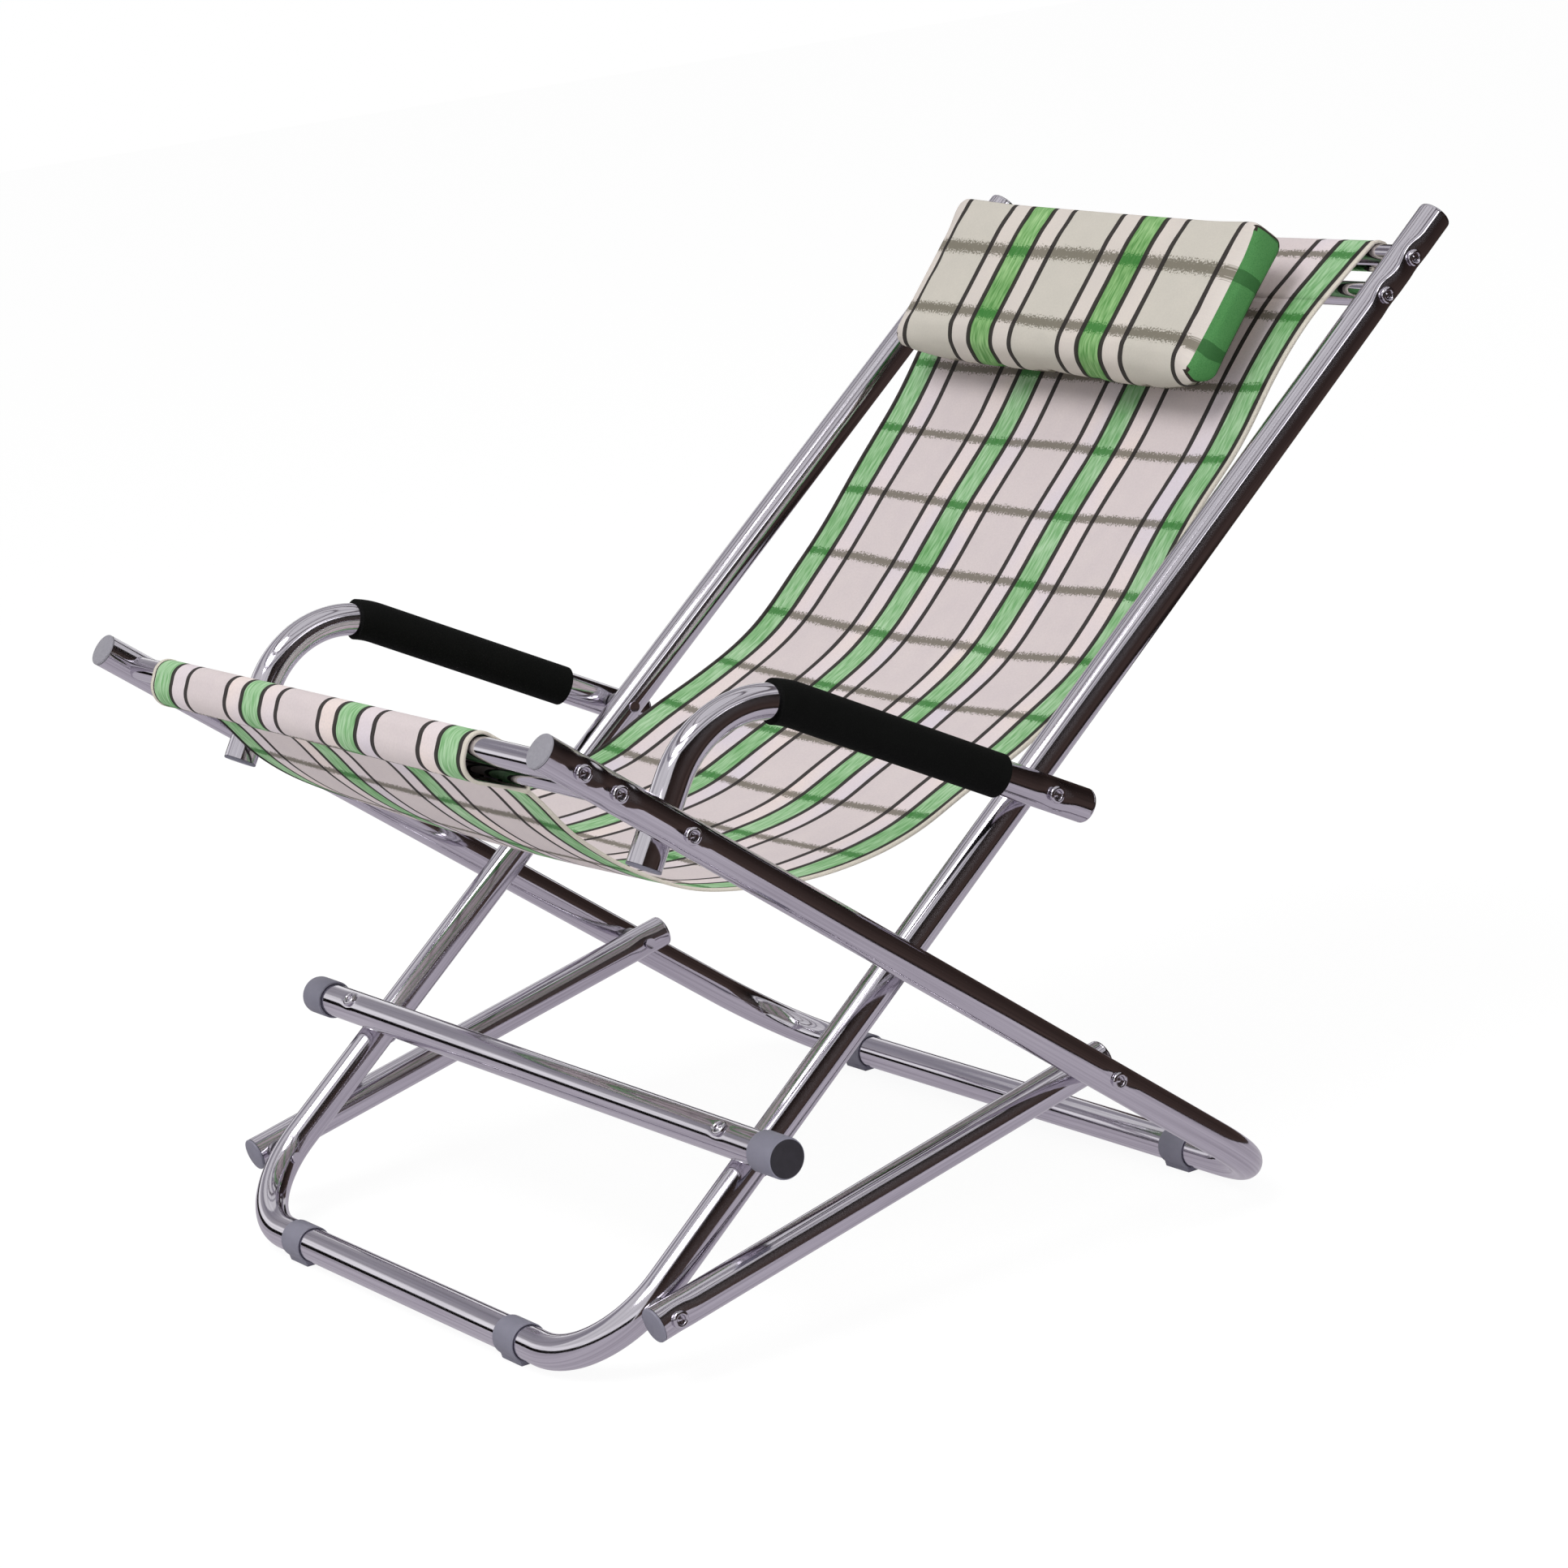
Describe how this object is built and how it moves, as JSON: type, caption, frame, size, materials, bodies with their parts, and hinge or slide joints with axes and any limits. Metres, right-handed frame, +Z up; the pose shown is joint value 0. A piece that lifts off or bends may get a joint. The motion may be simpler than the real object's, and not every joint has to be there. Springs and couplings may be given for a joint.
{
  "type": "folding lawn chair",
  "caption": "Folding lawn chair of chromed tube: crossed frames, lower links, bent arms with foam grips, a woven plaid sling and a head pillow.",
  "frame": {"origin": "middle of the chair's bounding box, on the ground plane under the feet", "axes": "+Z up, the sitter faces -Y, +X towards the sitter's left; the backrest is at +Y"},
  "size_m": [0.6886, 0.8464, 0.6796],
  "materials": {
    "chrome": "polished",
    "grey_plastic": "satin",
    "foam": "matte",
    "plaid_cloth": "matte"
  },
  "bodies": {
    "back_frame": {"back_frame_tube": "chrome", "back_lower_bar": "chrome", "back_lower_bar_rod": "chrome", "back_upper_bar": "chrome", "back_upper_bar_rod": "chrome", "front_foot_left": "grey_plastic", "front_foot_right": "grey_plastic", "back_top_plug_left": "chrome", "back_top_plug_right": "chrome", "stop_bar": "chrome", "stop_bar_cap_left": "grey_plastic", "stop_bar_cap_right": "grey_plastic", "stop_bar_rivet_left": "chrome", "stop_bar_rivet_right": "chrome", "link_back_pivot_left_rivet": "chrome", "link_back_pivot_left_washer": "chrome", "link_back_pivot_right_rivet": "chrome", "link_back_pivot_right_washer": "chrome", "arm_back_pivot_left_rivet": "chrome", "arm_back_pivot_left_washer": "chrome", "arm_back_pivot_right_rivet": "chrome", "arm_back_pivot_right_washer": "chrome", "sling": "plaid_cloth", "head_pillow": "plaid_cloth"},
    "seat_frame": {"seat_frame_tube": "chrome", "seat_rear_bar": "chrome", "seat_rear_bar_rod": "chrome", "seat_front_bar": "chrome", "seat_front_bar_rod": "chrome", "rear_foot_left": "grey_plastic", "rear_foot_right": "grey_plastic", "seat_front_plug_left": "grey_plastic", "seat_front_plug_right": "grey_plastic", "link_seat_pivot_left_rivet": "chrome", "link_seat_pivot_left_washer": "chrome", "link_seat_pivot_right_rivet": "chrome", "link_seat_pivot_right_washer": "chrome", "arm_seat_pivot_left_rivet": "chrome", "arm_seat_pivot_left_washer": "chrome", "arm_seat_pivot_right_rivet": "chrome", "arm_seat_pivot_right_washer": "chrome", "sling_front_loop": "plaid_cloth"},
    "lower_link_left": {"lower_link_left": "chrome", "link_front_plug_left": "grey_plastic", "link_rear_plug_left": "chrome"},
    "lower_link_right": {"lower_link_right": "chrome", "link_front_plug_right": "grey_plastic", "link_rear_plug_right": "chrome"},
    "arm_left": {"arm_tube_left": "chrome", "arm_grip_left": "foam", "arm_front_plug_left": "grey_plastic", "arm_rear_plug_left": "chrome"},
    "arm_right": {"arm_tube_right": "chrome", "arm_grip_right": "foam", "arm_front_plug_right": "grey_plastic", "arm_rear_plug_right": "chrome"}
  },
  "joints": [
    {"name": "lower_link_right_fold", "type": "hinge", "parent": "back_frame", "child": "lower_link_right", "pos_m": [-0.2955, -0.35467, 0.05064], "axis": [1, 0, 0], "range_deg": [0, 25.25]},
    {"name": "seat_frame_fold", "type": "hinge", "parent": "lower_link_right", "child": "seat_frame", "pos_m": [-0.2955, -0.00139, 0.12928], "axis": [1, 0, 0], "range_deg": [-120.7, 0], "deforming": ["head_pillow"]},
    {"name": "lower_link_left_fold", "type": "hinge", "parent": "back_frame", "child": "lower_link_left", "pos_m": [0.2955, -0.35467, 0.05064], "axis": [1, 0, 0], "range_deg": [0, 25.25]},
    {"name": "arm_left_fold", "type": "hinge", "parent": "back_frame", "child": "arm_left", "pos_m": [0.2955, -0.00493, 0.33083], "axis": [1, 0, 0], "range_deg": [-124.1, 0]},
    {"name": "arm_right_fold", "type": "hinge", "parent": "back_frame", "child": "arm_right", "pos_m": [-0.2955, -0.00493, 0.33083], "axis": [1, 0, 0], "range_deg": [-124.1, 0]}
  ],
  "couplings": [
    {"joint": "lower_link_right_fold", "follows": "seat_frame_fold", "ratio": -0.20904},
    {"joint": "lower_link_left_fold", "follows": "seat_frame_fold", "ratio": -0.20904},
    {"joint": "arm_left_fold", "follows": "seat_frame_fold", "ratio": 1.0274},
    {"joint": "arm_right_fold", "follows": "seat_frame_fold", "ratio": 1.0274}
  ]
}
